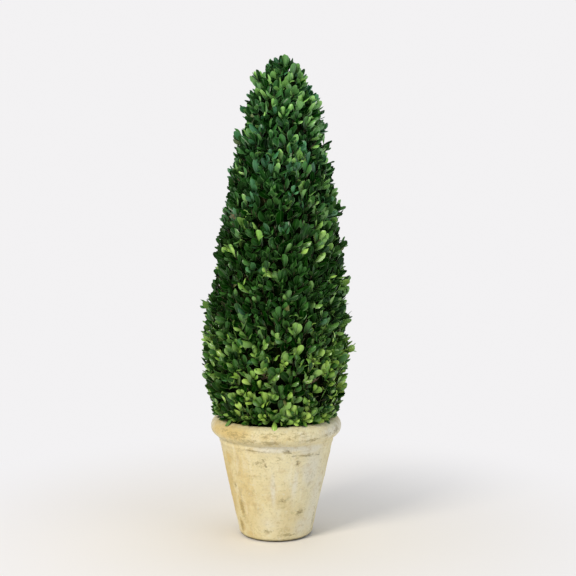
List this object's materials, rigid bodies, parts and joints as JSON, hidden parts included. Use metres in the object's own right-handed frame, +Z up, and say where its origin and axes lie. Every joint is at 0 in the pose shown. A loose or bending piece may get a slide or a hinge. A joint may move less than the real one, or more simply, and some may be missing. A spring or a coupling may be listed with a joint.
{
  "type": "potted cone topiary",
  "caption": "Boxwood clipped to a tall, slightly leaning cone, standing in a weathered cream terracotta pot with a thick rolled rim.",
  "frame": {"origin": "centre of the pot's flat underside, on the floor", "axes": "+Z up along the pot's axis, -Y towards the picture's camera, +X to the picture's right, the way the upper crown leans"},
  "size_m": [0.2296, 0.2247, 0.6997],
  "materials": {
    "weathered_terracotta": "matt, limewashed and stained",
    "potting_mix": "matt",
    "bark": "rough",
    "foliage": "satin leaves"
  },
  "bodies": {
    "root": {"pot": "weathered_terracotta", "potting_fill": "potting_mix", "stem": "bark", "foliage_cone": "foliage"}
  },
  "joints": []
}
